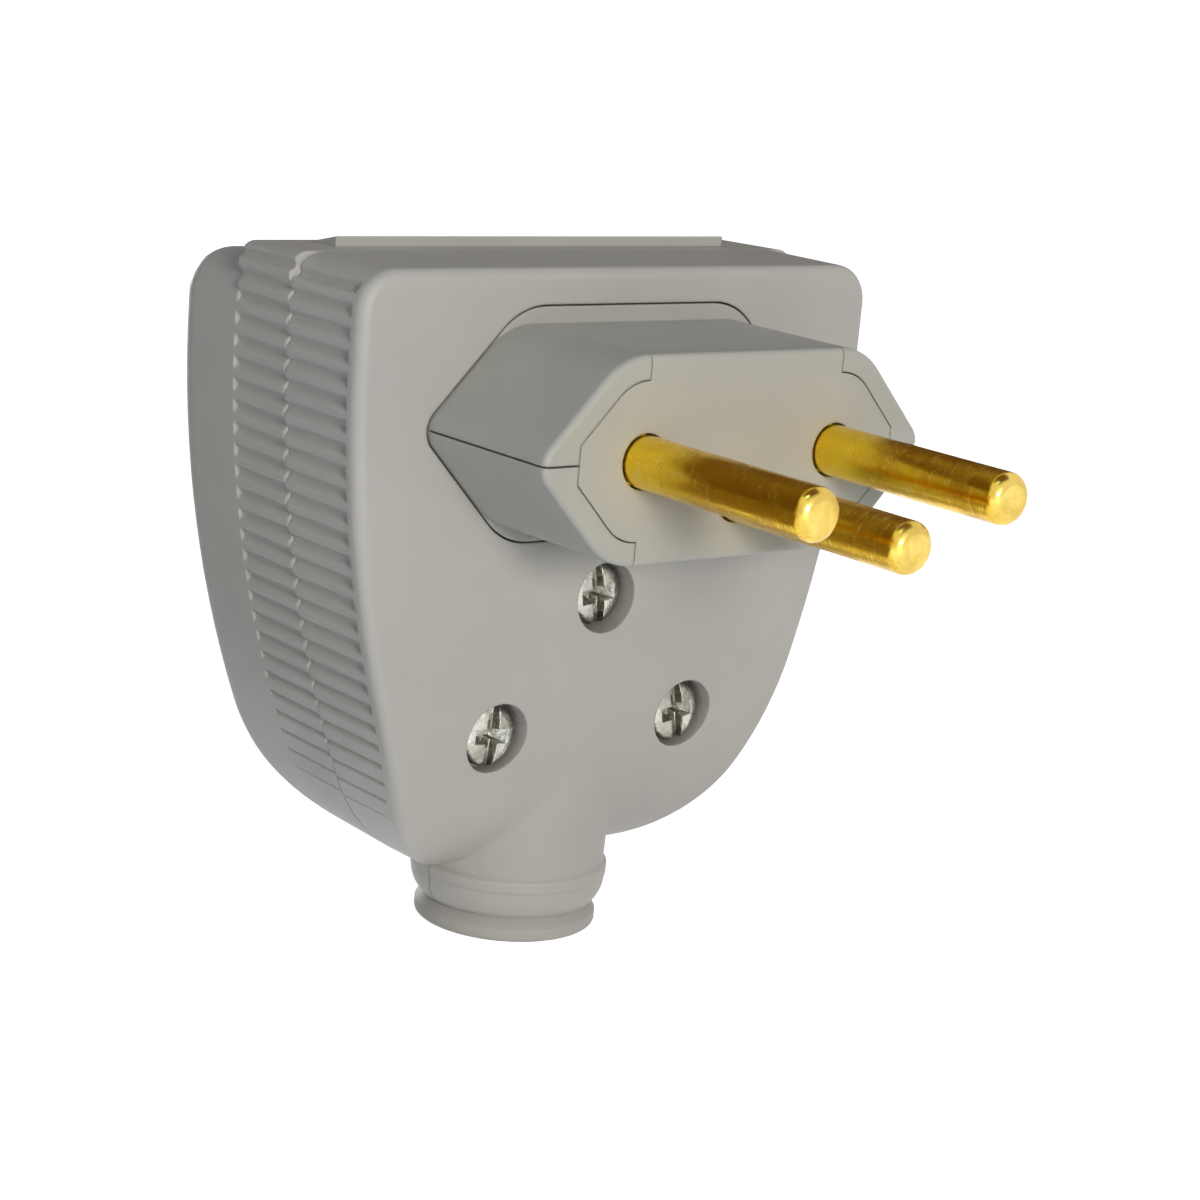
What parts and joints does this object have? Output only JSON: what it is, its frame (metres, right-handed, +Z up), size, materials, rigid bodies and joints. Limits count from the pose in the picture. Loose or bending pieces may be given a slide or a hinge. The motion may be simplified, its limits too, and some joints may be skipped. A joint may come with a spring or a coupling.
{
  "type": "male power plug",
  "caption": "Right-angle rewirable plug: a grey two-shell housing with ribbed sides, a hexagonal engagement block with round brass pins and an offset earth pin, and a cable neck below.",
  "frame": {"origin": "midway between the two pole pins, on the face of the engagement block", "axes": "+Z up, with the cable leaving along -Z; the pins point along -Y and the housing lies along +Y; +X is to the right when the pins are looked at"},
  "size_m": [0.0512, 0.06, 0.057],
  "materials": {
    "shell_plastic": "fine moulded satin",
    "block_plastic": "smooth moulded satin",
    "grommet_rubber": "soft matte",
    "pin_brass": "turned, lightly scratched",
    "screw_steel": "zinc plated",
    "clamp_steel": "pressed and plated"
  },
  "bodies": {
    "root": {"front_cover": "shell_plastic", "rear_housing": "shell_plastic", "pin_block_upper": "block_plastic", "pin_block_lower": "block_plastic", "pin_insert": "block_plastic", "pin_left": "pin_brass", "pin_right": "pin_brass", "pin_earth": "pin_brass", "terminal_screw_left": "screw_steel", "terminal_screw_right": "screw_steel", "terminal_screw_earth": "screw_steel", "cover_screw_top": "screw_steel", "cover_screw_left": "screw_steel", "cover_screw_right": "screw_steel", "cord_clamp": "clamp_steel", "cord_clamp_screw_left": "screw_steel", "cord_clamp_screw_right": "screw_steel", "cable_grommet": "grommet_rubber"}
  },
  "joints": []
}
